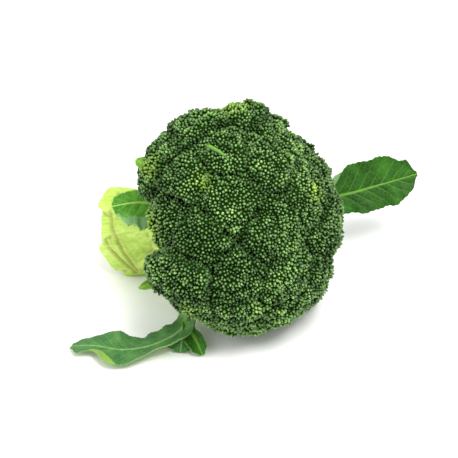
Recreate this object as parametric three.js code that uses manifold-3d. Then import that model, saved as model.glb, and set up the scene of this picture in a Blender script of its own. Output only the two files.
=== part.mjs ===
// A head of broccoli as cut, lying on its side: a thick pale stalk that splits into branches, a domed
// floret on the end of each branch, and the few small leaves that are left on the stalk.
//
// Millimetres, +Z up, the table at z = 0. The stalk's axis lies in the XZ plane: the crown faces +X and
// somewhat up, and the stalk's cut end points to -X and touches the table. The origin is the middle of
// the object's box, on the table.
//
// Most of it is laid out from the crown's centre. In the head's own directions, U is level and across
// the stalk, V is across it and upwards, and W runs along it, out of the top of the crown.

import * as THREE from "three";
import { ConvexHull } from "three/addons/math/ConvexHull.js";
import { mergeVertices } from "three/addons/utils/BufferGeometryUtils.js";
import Module from "manifold-3d";

const wasm = await Module();
wasm.setup();

const { degToRad, lerp, smoothstep, clamp } = THREE.MathUtils;

// Driving dimensions, in millimetres and degrees.
const CROWN_RADIUS = 72; // across the stalk
const CROWN_DEPTH = 55; // from the crown's centre to its top
const CROWN_HEIGHT = 69; // the crown's centre above the table
const STALK_TILT = 27; // the stalk's axis from level
const STALK_LENGTH = 110; // from the crown's centre to the cut end
const BOX_MIDDLE = [-23.3, 13.1]; // the box's middle from the crown's centre, along X and Y

const FLORET_COUNT = 34;
const FLORET_RADIUS = 25; // across a floret, before its neighbours press on it
const FLORET_RISE = 17; // from a floret's widest section to its top
const FLORET_TUCK = 6; // how far its edge curls under
const RIM_POLAR = 104; // how far the florets reach round the crown
const FIRST_TURN = 40; // where their spiral starts
const SQUARENESS = 2.25; // 2 is a round dome, more is flatter with steeper sides

const LOBE_RISE = 3; // a floret is a cluster of small lobes
const LOBE_WIDTH = 15;
const BUD_SPACING = 8.1; // larger than life
const BUD_PEAK = 1.5;
const BUD_VALLEY = 0.9;

const HEART_RADIUS = 28; // the florets end and the bare branches begin this far from what they aim at
const RIM_HEART_EXTRA = 8; // this much further at the rim
const BRANCH_TIP = 4.4;
const BRANCH_ROOT = 6.5;
const BRANCH_SPREAD = 14; // how far from the axis the outermost branches leave the fork
const COLLAR = 3.4; // how far a floret's narrow end reaches round its branch
const SOCKET_DEPTH = 4; // how far a branch goes into its floret
const GAP = 0.3; // between pieces that touch
const WALL_CENTRE = -10; // the walls between florets all aim at this point on the axis
const FORK = -43; // where the stalk splits
const FINEST = 0.12; // details of the florets and leaves finer than this are smoothed away
const FINEST_ON_STALK = 0.22;

const BLADE_HALF = 0.4; // half of a leaf's thickness near its edges
const RIB_DEPTH = 2.4; // how far the rib stands out under the blade at the leaf's root
const RIB_DEPTH_AT_TIP = 0.5;

const COLOURS = { floret: 0x47682f, stalk: 0xb7d357, leaf: 0x45762b, paleLeaf: 0x68945a };

// The head's own directions in the part's frame, measured from the point on the table under the crown.
const tilt = degToRad(STALK_TILT);
const CENTRE = new THREE.Vector3(0, 0, CROWN_HEIGHT);
const U = new THREE.Vector3(0, 1, 0);
const V = new THREE.Vector3(-Math.sin(tilt), 0, Math.cos(tilt));
const W = new THREE.Vector3(Math.cos(tilt), 0, Math.sin(tilt));
const GOLDEN_TURN = Math.PI * (3 - Math.sqrt(5));

function headPoint(u, v, w) {
  return CENTRE.clone().addScaledVector(U, u).addScaledVector(V, v).addScaledVector(W, w);
}

// A point this far out from the stalk's axis, at this turn round it.
function roundStalk(out, turn, w) {
  return headPoint(out * Math.cos(turn), out * Math.sin(turn), w);
}

function seeded(seed) {
  let state = seed;
  return () => {
    state = (state + 0x6d2b79f5) | 0;
    let mixed = Math.imul(state ^ (state >>> 15), 1 | state);
    mixed = (mixed + Math.imul(mixed ^ (mixed >>> 7), 61 | mixed)) ^ mixed;
    return ((mixed ^ (mixed >>> 14)) >>> 0) / 4294967296;
  };
}

// Two directions that are square to a third and to each other.
function across(direction) {
  const helper = Math.abs(direction.z) < 0.9 ? new THREE.Vector3(0, 0, 1) : new THREE.Vector3(1, 0, 0);
  const first = new THREE.Vector3().crossVectors(helper, direction).normalize();
  return [first, new THREE.Vector3().crossVectors(direction, first)];
}

// Directions spread evenly from straight up to a polar angle, as an array of [polar, turn].
function spiral(count, widestPolar, firstTurn) {
  const drop = 1 - Math.cos(widestPolar);
  return Array.from({ length: count }, (_, k) => [
    Math.acos(1 - ((k + 0.5) / count) * drop),
    firstTurn + k * GOLDEN_TURN,
  ]);
}

function sphereDirection(polar, turn) {
  return new THREE.Vector3().setFromSphericalCoords(1, polar, turn);
}

// Solids

function geometryOf(triangles) {
  const corners = triangles.flatMap((triangle) => triangle.flatMap((p) => [p.x, p.y, p.z]));
  return new THREE.BufferGeometry().setAttribute("position", new THREE.Float32BufferAttribute(corners, 3));
}

function solidOf(triangles) {
  const merged = mergeVertices(geometryOf(triangles), 1e-4);
  return new wasm.Manifold(
    new wasm.Mesh({
      numProp: 3,
      vertProperties: merged.attributes.position.array,
      triVerts: new Uint32Array(merged.index.array),
    }),
  );
}

// The largest body of a solid: a cut can leave loose scraps.
function mainBody(solid) {
  return solid.decompose().reduce((a, b) => (a.volume() > b.volume() ? a : b));
}

// A solid through rings of points that all run the same way round, closed at both ends.
function loft(rings) {
  const triangles = [];
  const sides = rings[0].length;
  const middle = (ring) => ring.reduce((sum, p) => sum.add(p), new THREE.Vector3()).divideScalar(sides);
  for (let j = 0; j < sides; j++) {
    const next = (j + 1) % sides;
    for (let k = 0; k + 1 < rings.length; k++) {
      const [a, b] = [rings[k][j], rings[k][next]];
      const [c, d] = [rings[k + 1][next], rings[k + 1][j]];
      triangles.push([a, b, c], [a, c, d]);
    }
    triangles.push([middle(rings[0]), rings[0][next], rings[0][j]]);
    triangles.push([middle(rings.at(-1)), rings.at(-1)[j], rings.at(-1)[next]]);
  }
  const solid = solidOf(triangles);
  return solid.volume() > 0 ? solid : solidOf(triangles.map(([a, b, c]) => [a, c, b]));
}

// An elliptical ring about a point: wide along one direction and thick along the other.
function ellipse(centre, wide, thick, sides) {
  return Array.from({ length: sides }, (_, j) => {
    const turn = (j / sides) * 2 * Math.PI;
    return centre.clone().addScaledVector(wide, Math.cos(turn)).addScaledVector(thick, Math.sin(turn));
  });
}

function meshOf(name, solid, colour, roughness, middle) {
  const { vertProperties, triVerts, numProp } = solid.getMesh();
  const positions = new Float32Array((vertProperties.length / numProp) * 3);
  for (let i = 0; i < positions.length / 3; i++) {
    positions[3 * i] = vertProperties[numProp * i] - middle.x;
    positions[3 * i + 1] = vertProperties[numProp * i + 1] - middle.y;
    positions[3 * i + 2] = vertProperties[numProp * i + 2] - middle.z;
  }
  const geometry = new THREE.BufferGeometry()
    .setAttribute("position", new THREE.BufferAttribute(positions, 3))
    .setIndex(new THREE.BufferAttribute(new Uint32Array(triVerts), 1));
  geometry.computeVertexNormals();
  const mesh = new THREE.Mesh(geometry, new THREE.MeshStandardMaterial({ color: colour, roughness }));
  mesh.name = name;
  mesh.position.copy(middle);
  return mesh;
}

// Florets

// Some florets stand out of the crown or lie deeper in it, are larger or smaller than the rest, or are
// pushed aside: [floret's number, how far out, size, degrees further round the stalk].
const ODD_FLORETS = [
  [3, 1, 1.03, 7],
  [6, -3, 1, 0],
  [8, 1, 1.03, -9],
  [9, -5, 0.97, 0],
  [11, -2, 1, 0],
  [13, 0, 1, 0],
  [14, -8, 0.98, 0],
  [16, -6, 0.96, 0],
  [17, 2, 0.92, -9],
  [19, -3, 1, 0],
  [21, -1, 1, 0],
  [22, -4, 1, 0],
  [23, 6, 1.12, -3],
  [25, 3, 1.04, 4],
  [26, -1, 1, 0],
  [27, -2, 1, 0],
  [28, -8, 0.96, 0],
  [29, 4, 1.04, 0],
  [30, -5, 1.04, 0],
  [31, -2, 1, 0],
  [33, 3, 1.05, -1],
  [34, -1, 1, 0],
];

// Where each floret sits: its widest section's middle, the way it faces and what its branch aims at.
function floretSites() {
  const random = seeded(11);
  return spiral(FLORET_COUNT, degToRad(RIM_POLAR), degToRad(FIRST_TURN)).map(([polar, evenTurn], place) => {
    const odd = ODD_FLORETS.find(([number]) => number === place + 1);
    const usual = [place + 1, 2 * random() - 1, lerp(0.94, 1.06, random()), 0];
    const [number, out, size, round] = odd ?? usual;
    const turn = evenTurn + degToRad(round);
    const [lateral, along] = [CROWN_RADIUS * Math.sin(polar), CROWN_DEPTH * Math.cos(polar)];
    const facingPolar = Math.atan2(lateral / CROWN_RADIUS ** 2, along / CROWN_DEPTH ** 2);
    const facing = roundStalk(Math.sin(facingPolar), turn, Math.cos(facingPolar)).sub(CENTRE);
    const rise = FLORET_RISE * size;
    const middle = roundStalk(lateral, turn, along).addScaledVector(facing, out - rise);
    const rimShare = smoothstep(polar, degToRad(60), degToRad(95));
    const aim = headPoint(0, 0, lerp(WALL_CENTRE, FORK, rimShare));
    const heart = HEART_RADIUS + RIM_HEART_EXTRA * rimShare;
    return { number, polar, turn, facing, middle, aim, heart, rise, radius: FLORET_RADIUS * size };
  });
}

// A floret's outline from its top, polar angle 0, to its branch, 180: [out from its axis, up along it].
function floretOutline(site, polar) {
  const degrees = THREE.MathUtils.radToDeg(polar);
  const { radius, rise } = site;
  if (degrees <= 90) {
    const [sine, cosine] = [Math.sin(polar), Math.max(Math.cos(polar), 0)];
    const reach = ((sine / radius) ** SQUARENESS + (cosine / rise) ** SQUARENESS) ** (-1 / SQUARENESS);
    return [reach * sine, reach * cosine];
  }
  const length = site.middle.distanceTo(site.aim) - site.heart;
  const collar = BRANCH_TIP + COLLAR;
  const [tuckEnd, trumpetEnd] = [116, 172];
  const shoulder = 0.8 * radius;
  if (degrees <= tuckEnd) {
    const curl = (((degrees - 90) / (tuckEnd - 90)) * Math.PI) / 2;
    return [lerp(shoulder, radius, Math.cos(curl)), -FLORET_TUCK * Math.sin(curl)];
  }
  const share = clamp((degrees - tuckEnd) / (trumpetEnd - tuckEnd), 0, 1);
  if (share < 1) return [lerp(shoulder, collar, 1 - (1 - share) ** 2), lerp(-FLORET_TUCK, -length, share)];
  return [(collar * (180 - degrees)) / (180 - trumpetEnd), -length];
}

// How far the small lobes raise a floret's surface in a direction.
function lobeRise(site, lobes, direction) {
  const reach = LOBE_WIDTH / site.radius;
  const nearest = Math.min(...lobes.map((lobe) => lobe.angleTo(direction)));
  return LOBE_RISE * Math.max(0, 1 - (nearest / reach) ** 2);
}

// A floret before it is pressed against its neighbours: a lobed dome covered in buds, whose underside
// narrows to its branch. The buds are the points of a mesh on the sphere, each raised in the middle of
// its own cell, and the cells meet in valleys.
function looseFloret(site) {
  const random = seeded(100 + site.number);
  const budEdge = degToRad(103);
  const lobeCount = Math.round((3.2 * site.radius ** 2) / LOBE_WIDTH ** 2) + 3;
  const lobes = spiral(lobeCount, degToRad(100), 6 * random()).map(([p, t]) => sphereDirection(p, t));
  const budCount = Math.round((2 * Math.PI * site.radius * site.rise * 1.35) / BUD_SPACING ** 2);
  const directions = spiral(budCount, budEdge, 6 * random()).map(([p, t]) => sphereDirection(p, t));
  const buds = new Set(directions);
  const under = [[112, 12], [122, 8], [140, 7], [157, 6], [171.9, 6], [180, 1]];
  for (const [polar, count] of under)
    for (let j = 0; j < count; j++)
      directions.push(sphereDirection(degToRad(polar), ((j + 0.37 * count) / count) * 2 * Math.PI));

  const [right, ahead] = across(site.facing);
  const inward = site.aim.clone().sub(site.middle).normalize();
  const surfacePoint = (direction, raise) => {
    const polar = Math.acos(clamp(direction.y, -1, 1));
    const turn = Math.atan2(direction.x, direction.z);
    const [out, up] = floretOutline(site, polar);
    const budded = smoothstep(-polar, -budEdge - 0.2, -budEdge + 0.2);
    const lift = raise + lobeRise(site, lobes, direction) * budded;
    const facingOut = Math.sin(Math.min(polar, Math.PI / 2));
    const facingUp = Math.cos(Math.min(polar, Math.PI / 2));
    const side = right.clone().multiplyScalar(Math.cos(turn)).addScaledVector(ahead, Math.sin(turn));
    const point = site.middle.clone().addScaledVector(side, out + lift * facingOut);
    return up >= 0
      ? point.addScaledVector(site.facing, up + lift * facingUp)
      : point.addScaledVector(inward, -up);
  };

  // Each face of the spheres' mesh between three buds gets a low middle, and each edge between two
  // such faces becomes a valley from middle to middle.
  const hull = new ConvexHull().setFromPoints(directions);
  const byPoint = new Map(directions.map((d) => [`${d.x},${d.y},${d.z}`, d]));
  const keyOf = (p) => `${p.x},${p.y},${p.z}`;
  const at = new Map(directions.map((d) => [d, surfacePoint(d, buds.has(d) ? BUD_PEAK : 0)]));
  const faces = hull.faces.map((face) => {
    const corners = [face.edge.tail().point, face.edge.head().point, face.edge.next.head().point];
    const ends = corners.map((p) => byPoint.get(keyOf(p)));
    if (!ends.every((d) => buds.has(d))) return { ends };
    const low = ends.reduce((sum, d) => sum.add(d), new THREE.Vector3()).normalize();
    return { ends, low: surfacePoint(low, -BUD_VALLEY) };
  });
  const lowAcross = new Map();
  for (const { ends, low } of faces)
    ends.forEach((d, i) => lowAcross.set(`${keyOf(d)}|${keyOf(ends[(i + 1) % 3])}`, low));
  const triangles = [];
  for (const { ends, low } of faces) {
    if (!low) {
      triangles.push(ends.map((d) => at.get(d)));
      continue;
    }
    ends.forEach((d, i) => {
      const next = ends[(i + 1) % 3];
      const other = lowAcross.get(`${keyOf(next)}|${keyOf(d)}`);
      if (other) triangles.push([at.get(d), other, low]);
      else triangles.push([at.get(d), at.get(next), low]);
    });
  }
  return solidOf(triangles);
}

// Pushes a solid back from the walls that its neighbours' florets press against it.
function pressed(solid, site, sites) {
  const wallCentre = headPoint(0, 0, WALL_CENTRE);
  for (const other of sites) {
    const apart = site.middle.distanceTo(other.middle);
    if (other === site || apart > site.radius + other.radius + 6) continue;
    const share = site.radius / (site.radius + other.radius);
    const between = site.middle.clone().lerp(other.middle, share);
    const radial = between.clone().sub(wallCentre).normalize();
    const normal = site.middle.clone().sub(other.middle).projectOnPlane(radial).normalize();
    solid = solid.trimByPlane(normal.toArray(), normal.dot(between) + GAP / 2);
  }
  return solid;
}

// Stalk

// The stalk's radius along its axis, from the cut end to the fork.
const STALK_OUTLINE = [
  [-STALK_LENGTH, 24.5], [-102, 25], [-88, 23], [-74, 21], [-60, 21], [-50, 22.5], [-42, 23], [-36, 18],
  [-32, 9],
];
const RIDGES = 5; // the shallow ridges along the stalk
const RIDGE_SHARE = 0.035; // of its radius

function stalkCore(grow) {
  const sides = 16;
  const rings = STALK_OUTLINE.map(([w, radius], k) =>
    Array.from({ length: sides }, (_, j) => {
      const turn = (j / sides) * 2 * Math.PI;
      const ridge = 1 + RIDGE_SHARE * Math.cos(RIDGES * turn + 0.7 + 0.012 * w);
      return roundStalk(radius * ridge + grow, turn, k ? w : w - grow);
    }),
  );
  return loft(rings);
}

// A branch leaves the fork beside the axis and bends into the underside of its floret.
function branch(site, grow) {
  const inward = site.aim.clone().sub(site.middle).normalize();
  const length = site.middle.distanceTo(site.aim) - site.heart;
  const mouth = site.middle.clone().addScaledVector(inward, length);
  const end = site.middle.clone().addScaledVector(inward, length - SOCKET_DEPTH);
  const root = roundStalk(BRANCH_SPREAD * Math.sin(Math.min(site.polar, Math.PI / 2)), site.turn, FORK - 3);
  const bend = root.clone().lerp(mouth, 0.6).addScaledVector(inward, site.heart * 0.22);
  const path = new THREE.CatmullRomCurve3([root, bend, mouth, end]);
  const wide = roundStalk(1, site.turn + Math.PI / 2, 0).sub(CENTRE);
  const steps = 3;
  const rings = Array.from({ length: steps + 1 }, (_, k) => {
    const radius = lerp(BRANCH_ROOT, BRANCH_TIP, k / steps) + grow;
    const centre = path.getPoint(k / steps).addScaledVector(inward, k === steps ? -grow : 0);
    const thick = new THREE.Vector3().crossVectors(path.getTangent(k / steps), wide).normalize();
    return ellipse(centre, wide.clone().multiplyScalar(radius), thick.multiplyScalar(radius), 5);
  });
  return loft(rings);
}

// The cut-off bases of leaf stalks. Each starts inside the stalk and flares away from it:
// [turn in degrees, [w, out, width, thickness] at its root, its middle and its cut tip].
const LEAF_BASES = [
  [150, [-70, 15, 26, 10], [-90, 22, 30, 12], [-106, 26, 28, 8]],
  [112, [-74, 16, 28, 11], [-92, 25, 28, 10], [-106, 33, 20, 6]],
  [196, [-70, 15, 26, 10], [-90, 24, 30, 12], [-107, 30, 24, 8]],
  [243, [-62, 15, 26, 10], [-86, 24, 30, 12], [-105, 31, 24, 8]],
  [38, [-101, 17, 28, 13], [-82, 24, 26, 12], [-62, 33, 19, 10]],
  [318, [-98, 17, 26, 12], [-84, 22, 24, 11], [-70, 27, 18, 9]],
];

function leafBase([degrees, ...stations], grow) {
  const turn = degToRad(degrees);
  const around = roundStalk(1, turn + Math.PI / 2, 0).sub(CENTRE);
  const points = stations.map(([w, out]) => roundStalk(out, turn, w));
  const rings = points.map((point, k) => {
    const along = points[Math.min(k + 1, 2)].clone().sub(points[Math.max(k - 1, 0)]).normalize();
    const thick = new THREE.Vector3().crossVectors(along, around).normalize();
    const [, , width, thickness] = stations[k];
    return ellipse(
      k === 2 ? point.clone().addScaledVector(along, grow) : point,
      around.clone().multiplyScalar(width / 2 + grow),
      thick.multiplyScalar(thickness / 2 + grow),
      10,
    );
  });
  return loft(rings);
}

function stalkSolid(sites, grow) {
  const limbs = [...sites.map((site) => branch(site, grow)), ...LEAF_BASES.map((b) => leafBase(b, grow))];
  return limbs.reduce((whole, limb) => whole.add(limb), stalkCore(grow));
}

// Leaves

// A leaf is a rib of points from its root in the stalk to its tip, with the way its upper face looks at
// both ends, and how it widens, curls up at each edge and waves along its length. Rib points are from the
// table under the crown's centre. Widths are half widths in millimetres, curls are in degrees, and both
// are given as [share of the length, left, right] seen from the root towards the tip, upper face up.
const LEAVES = [
  {
    name: "leaf_right",
    colour: COLOURS.leaf,
    rib: [[-55, 15, 42], [-40, 42, 38], [-18, 74, 40], [14, 89, 46], [33, 111, 51], [49, 133, 55]],
    faces: [[0.3, -0.3, 0.9], [0.56, -0.65, 0.51]],
    widths: [[0, 2.6, 2.6], [0.4, 2.6, 2.6], [0.52, 4, 6], [0.62, 15, 13], [0.7, 19, 15], [0.85, 18, 16],
      [0.95, 12, 10], [1, 2, 1.5]],
    curls: [[0, 0, 0], [0.5, 40, 30], [0.7, 12, 8], [1, 14, 14]],
    wave: 1.1,
    waves: 5,
  },
  {
    name: "leaf_left",
    colour: COLOURS.leaf,
    rib: [[-51.5, -8, 56.6], [-53, -18, 67], [-62, -29, 71], [-74, -40, 69]],
    faces: [[-0.2, -0.2, 1], [0.35, -0.5, 0.8]],
    widths: [[0, 2.2, 2.2], [0.25, 4, 3], [0.4, 14, 6], [0.6, 21, 8], [0.8, 17, 8], [0.95, 8, 6], [1, 2, 2]],
    curls: [[0, 0, 0], [0.4, 50, 50], [0.7, 32, 60], [1, 25, 30]],
    wave: 1.5,
    waves: 2.5,
    steps: 14,
  },
  {
    name: "leaf_lower",
    colour: COLOURS.paleLeaf,
    rib: [[-50, -8, 30], [-38, -20, 21], [-20, -35, 13], [-8, -51, 9.5], [-14, -72, 6], [-28, -87, 4.5],
      [-43, -96, 6], [-57, -102, 2.5]],
    faces: [[-0.4, -0.3, 0.8], [-0.1, 0.1, 1]],
    widths: [[0, 2.6, 2.6], [0.3, 3, 3], [0.42, 9, 7], [0.5, 12, 9], [0.6, 11, 12], [0.76, 15, 14],
      [0.86, 7, 12], [0.95, 8, 9], [1, 3, 3]],
    curls: [[0, 0, 0], [0.4, 40, 40], [0.6, 20, 20], [0.8, -10, 25], [1, 10, 10]],
    wave: 2.2,
    waves: 3.5,
    steps: 20,
  },
  {
    name: "leaf_lower",
    colour: COLOURS.paleLeaf,
    rib: [[-12, -45, 10.5], [-8, -51, 8.5], [-3, -58, 5], [0, -63, 1.4]],
    faces: [[-0.4, -0.3, 0.8], [0.1, -0.2, 1]],
    widths: [[0, 3, 3], [0.3, 8, 8], [0.6, 11, 11], [0.85, 9, 9], [1, 4, 4]],
    curls: [[0, 0, 0], [1, 20, 20]],
    wave: 1,
    waves: 1.5,
    steps: 7,
    cells: 2,
  },
  {
    name: "leaf_lower",
    colour: COLOURS.paleLeaf,
    rib: [[-10, -46, 11], [-2, -51, 10.5], [6, -54, 7], [13, -57, 2.2]],
    faces: [[-0.2, -0.3, 0.9], [0.5, -0.5, 0.7]],
    widths: [[0, 2, 2], [0.3, 3, 4], [0.6, 5, 7], [0.85, 5, 6], [1, 2, 2]],
    curls: [[0, 10, 10], [1, 25, 25]],
    wave: 0.6,
    waves: 1.5,
    steps: 6,
    cells: 2,
  },
];

function along(table, share, column) {
  const next = table.findIndex((row) => row[0] >= share);
  if (next <= 0) return table[0][column];
  const [from, to] = [table[next - 1], table[next]];
  return lerp(from[column], to[column], smoothstep(share, from[0], to[0]));
}

// A leaf's cross-section: pairs of points on its upper and lower face, from its left edge to its right.
function leafSection(leaf, path, share, grow) {
  const cells = leaf.cells ?? 3; // on each side of the rib
  const point = path.getPoint(share);
  const ahead = path.getTangent(share);
  const [first, last] = leaf.faces.map((f) => new THREE.Vector3(...f).normalize());
  const roughly = first.clone().lerp(last, smoothstep(share, 0.2, 0.6));
  const right = new THREE.Vector3().crossVectors(ahead, roughly).normalize();
  const up = new THREE.Vector3().crossVectors(right, ahead).normalize();
  const ribShare = 1 - smoothstep(share, 0.3, 1);
  return Array.from({ length: 2 * cells + 1 }, (_, k) => {
    const t = (k - cells) / cells;
    const side = t < 0 ? 1 : 2;
    const half = along(leaf.widths, share, side) + grow;
    const turn = degToRad(along(leaf.curls, share, side)) * Math.abs(t) + 1e-4;
    const reach = (half * Math.abs(t)) / turn;
    const blade = smoothstep(half, 4, 12);
    const ripple = leaf.wave * blade * t * t * Math.sin(leaf.waves * 2 * Math.PI * share + 2 * side);
    const middle = point
      .clone()
      .addScaledVector(right, Math.sign(t) * reach * Math.sin(turn))
      .addScaledVector(up, reach * (1 - Math.cos(turn)) + ripple);
    const normal = up
      .clone()
      .multiplyScalar(Math.cos(turn))
      .addScaledVector(right, -Math.sign(t) * Math.sin(turn));
    const roundness = Math.sqrt(1 - t * t);
    const rib = lerp(RIB_DEPTH_AT_TIP, RIB_DEPTH, ribShare) * roundness + 0.35;
    const under = lerp(rib, BLADE_HALF, blade * Math.min(1, Math.abs(t) * 2)) + BLADE_HALF * ribShare;
    return [
      middle.clone().addScaledVector(normal, BLADE_HALF + grow),
      middle.clone().addScaledVector(normal, -under - grow),
    ];
  });
}

// The blade is split into the same triangles on both faces.
function leafSolid(leaf, grow = 0) {
  const path = new THREE.CatmullRomCurve3(leaf.rib.map((p) => new THREE.Vector3(...p)));
  const steps = leaf.steps ?? 20;
  const sections = Array.from({ length: steps + 1 }, (_, k) => leafSection(leaf, path, k / steps, grow));
  const cells = sections[0].length - 1;
  const triangles = [];
  const quad = (a, b, c, d) => triangles.push([a, b, c], [a, c, d]);
  for (let k = 0; k < steps; k++) {
    const [here, there] = [sections[k], sections[k + 1]];
    for (let j = 0; j < cells; j++) {
      quad(here[j][0], here[j + 1][0], there[j + 1][0], there[j][0]);
      triangles.push([here[j][1], there[j + 1][1], here[j + 1][1]]);
      triangles.push([here[j][1], there[j][1], there[j + 1][1]]);
    }
    quad(here[0][1], here[0][0], there[0][0], there[0][1]);
    quad(here[cells][0], here[cells][1], there[cells][1], there[cells][0]);
  }
  for (let j = 0; j < cells; j++) {
    quad(sections[0][j][0], sections[0][j][1], sections[0][j + 1][1], sections[0][j + 1][0]);
    quad(sections[steps][j][1], sections[steps][j][0], sections[steps][j + 1][0], sections[steps][j + 1][1]);
  }
  const solid = solidOf(triangles);
  return solid.volume() > 0 ? solid : solidOf(triangles.map(([a, b, c]) => [a, c, b]));
}

// Assembly

const aboveTable = (solid) => solid.trimByPlane([0, 0, 1], 0);

const broccoli = new THREE.Group();
broccoli.position.set(-BOX_MIDDLE[0], -BOX_MIDDLE[1], 0);

const sites = floretSites();
const clearance = stalkSolid(sites, GAP + 0.15);
let stalk = stalkSolid(sites, 0);
for (const leaf of LEAVES) stalk = stalk.subtract(leafSolid(leaf, GAP));
stalk = mainBody(aboveTable(stalk)).simplify(FINEST_ON_STALK);
broccoli.add(meshOf("stalk", stalk, COLOURS.stalk, 0.5, headPoint(0, 0, FORK)));

for (const site of sites) {
  const name = `floret_${String(site.number).padStart(2, "0")}`;
  const whole = pressed(looseFloret(site), site, sites).subtract(clearance);
  const solid = mainBody(aboveTable(whole)).simplify(FINEST);
  broccoli.add(meshOf(name, solid, COLOURS.floret, 0.65, site.middle));
}

for (const name of new Set(LEAVES.map((leaf) => leaf.name))) {
  const blades = LEAVES.filter((leaf) => leaf.name === name);
  const whole = blades.map((leaf) => leafSolid(leaf)).reduce((joined, blade) => joined.add(blade));
  const solid = aboveTable(whole).simplify(FINEST);
  broccoli.add(meshOf(name, solid, blades[0].colour, 0.5, new THREE.Vector3(...blades[0].rib[0])));
}

export default broccoli;
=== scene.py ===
import math

import bmesh
import bpy
import numpy as np
from mathutils import Matrix, Quaternion, Vector, noise


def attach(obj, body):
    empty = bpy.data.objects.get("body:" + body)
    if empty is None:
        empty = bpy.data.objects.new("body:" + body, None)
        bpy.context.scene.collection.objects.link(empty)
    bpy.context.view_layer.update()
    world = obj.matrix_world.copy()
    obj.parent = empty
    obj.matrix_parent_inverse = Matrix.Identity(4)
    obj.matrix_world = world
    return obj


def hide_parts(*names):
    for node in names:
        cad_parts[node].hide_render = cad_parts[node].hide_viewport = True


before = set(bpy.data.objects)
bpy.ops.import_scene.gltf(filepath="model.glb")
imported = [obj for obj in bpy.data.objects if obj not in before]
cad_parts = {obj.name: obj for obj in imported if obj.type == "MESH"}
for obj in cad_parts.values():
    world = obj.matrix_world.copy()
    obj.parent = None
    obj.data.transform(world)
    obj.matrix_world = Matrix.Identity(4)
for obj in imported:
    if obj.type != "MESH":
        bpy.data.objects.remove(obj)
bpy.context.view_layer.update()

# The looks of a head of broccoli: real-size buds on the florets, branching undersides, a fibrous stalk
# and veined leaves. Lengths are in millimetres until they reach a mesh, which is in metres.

MM = 0.001

# The head's layout, as its solids have it.
CROWN_CENTRE = np.array([23.3, -13.1, 69.0])
CROWN_RADIUS = 72  # of the dome that the florets' tops lie on, across the stalk
CROWN_DEPTH = 55  # of that dome, along the stalk
STALK_TILT = math.radians(27)  # up from level
STALK_LENGTH = 110  # from the crown's centre to the cut end
FLORET_COUNT = 34
FLORET_RADIUS = 25
FLORET_RISE = 17  # a floret's top above its widest part
FLORET_TUCK = 6  # how far down from there its underside curls in
USUAL_OUT = 1  # the most that a floret is moved out or in
USUAL_SIZE = 0.94, 1.06  # the least and the most of its size
RIM_POLAR = math.radians(104)  # the lowest florets, round from the crown's top
RIM_RANGE = math.radians(60), math.radians(95)  # where the branches turn from the heart to the fork
FIRST_TURN = math.radians(40)
SQUARENESS = 2.25  # of a floret's dome, where 2 is round
LOBE_RISE = 3
LOBE_WIDTH = 15
LOBE_COVER = 3.2  # how many lobes there are to a square of a lobe's width
FEWEST_LOBES = 3
LOBE_POLAR = math.radians(100)  # the lowest lobes, round from the floret's top
LOBE_END = math.radians(103)  # where the lobes fade out
LOBE_FADE = 0.2
STEM_RANGE = math.radians(112), math.radians(130)  # where the stems under a floret begin to stand out
STEM_COUNT = 9
STEM_RELIEF = 1.1
STEM_REACH = 9  # how far out from the branch they stand out in full
HEART_RADIUS = 28  # of the ball inside the crown that the florets' branches end at
RIM_HEART_EXTRA = 8
BRANCH_TIP = 4.4
COLLAR = 3.4  # how much wider a floret's foot is than its branch
WALL_CENTRE = -10  # where the walls between the florets meet, along the stalk
FORK = -43  # where the rim's branches meet, along the stalk
GAP = 0.3  # between two florets
FLORET_SEED, LOBE_SEED = 11, 100
NEIGHBOUR_REACH = 6  # the most between two florets that have a wall
GOLDEN_TURN = math.pi * (3 - math.sqrt(5))

# The head's own directions: U is level and across the stalk, V is across it and upwards, and W runs
# along it, out of the top of the crown.
U = np.array([0, 1, 0])
V = np.array([-math.sin(STALK_TILT), 0, math.cos(STALK_TILT)])
W = np.array([math.cos(STALK_TILT), 0, math.sin(STALK_TILT)])
UNDER_CROWN = CROWN_CENTRE * np.array([1, 1, 0])

# Real sizes of what the solids leave out.
BUD_GAP = 1.52  # the nearest that two buds' middles come
BUD_RADIUS = 1.0
BUD_LENGTH = 1.4
BUD_SIZES = 0.74, 1.16  # the least and the most of a bud's size
BUD_SIDES, BUD_RINGS = 5, 4
BUD_SEED = 300
BUD_CHOICES = 9000  # random places on a floret that its buds are chosen from
BUD_EDGE = -5  # the lowest buds, up from the floret's middle
BUD_UNEVEN = 0.2  # how unevenly the buds stand and lean
LOWEST_BUD = 2.3  # the lowest buds, up from the table
BED_SINK = 1.25  # the surface that the buds stand on, below the floret's solid
BED_NET = 1.9  # the size of its faces
BED_KEEP = 0.6  # the share that it sinks by beside a neighbour, to let no light through
BED_KEEP_RANGE = 0.5, 2  # how far from the neighbour it sinks by that share, and in full
STEM_FADE = 4  # from the lowest buds to where the stems are bare
BUD_STAND = 0.95  # the middles of the buds above the bed
HIDDEN_DEPTH = 5  # how far the buds go on under a neighbour's surface
FREE_AIR = 1.5  # the air that a bud needs over it
FAR_APART = 80  # florets this far apart can't cover each other
TUFT_WIDTH = 8  # a small bunch of buds on one stem
TUFT_PITCH = 6.8  # the nearest that two tufts' middles come
TUFT_RISE = 1.5
TUFT_EDGE = 0.6, 1.2  # where the gap between two tufts begins and is deepest, in half widths of a tuft
TUFT_SIZES = 0.93, 1.05  # the least and the most of the size of its buds
TUFT_SPLAY = 0.5  # how far its outer buds lean outwards
TUFT_SHADE = 0.7  # how shut in the buds between two tufts are, for the painted shade that darkens them: those beside a neighbour have 1
CREVICE_RANGE = 0.5, 4  # how far from a neighbour the buds are sunk and darkened with painted shade, and no longer so
CREVICE_SINK = 0.3
TUFT_TINT, BUD_TINT, SHUT_IN_SHADE = 0.4, 0.7, -0.4  # what a bud's colour value is made up of: its tuft's random tone, its own, and painted shade where it is shut in
BUNCH = 12  # how many buds are made at a time
YOUNG_SHARES = 0.3, 0.8  # the least and the most of how young the buds of a young patch are
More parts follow.
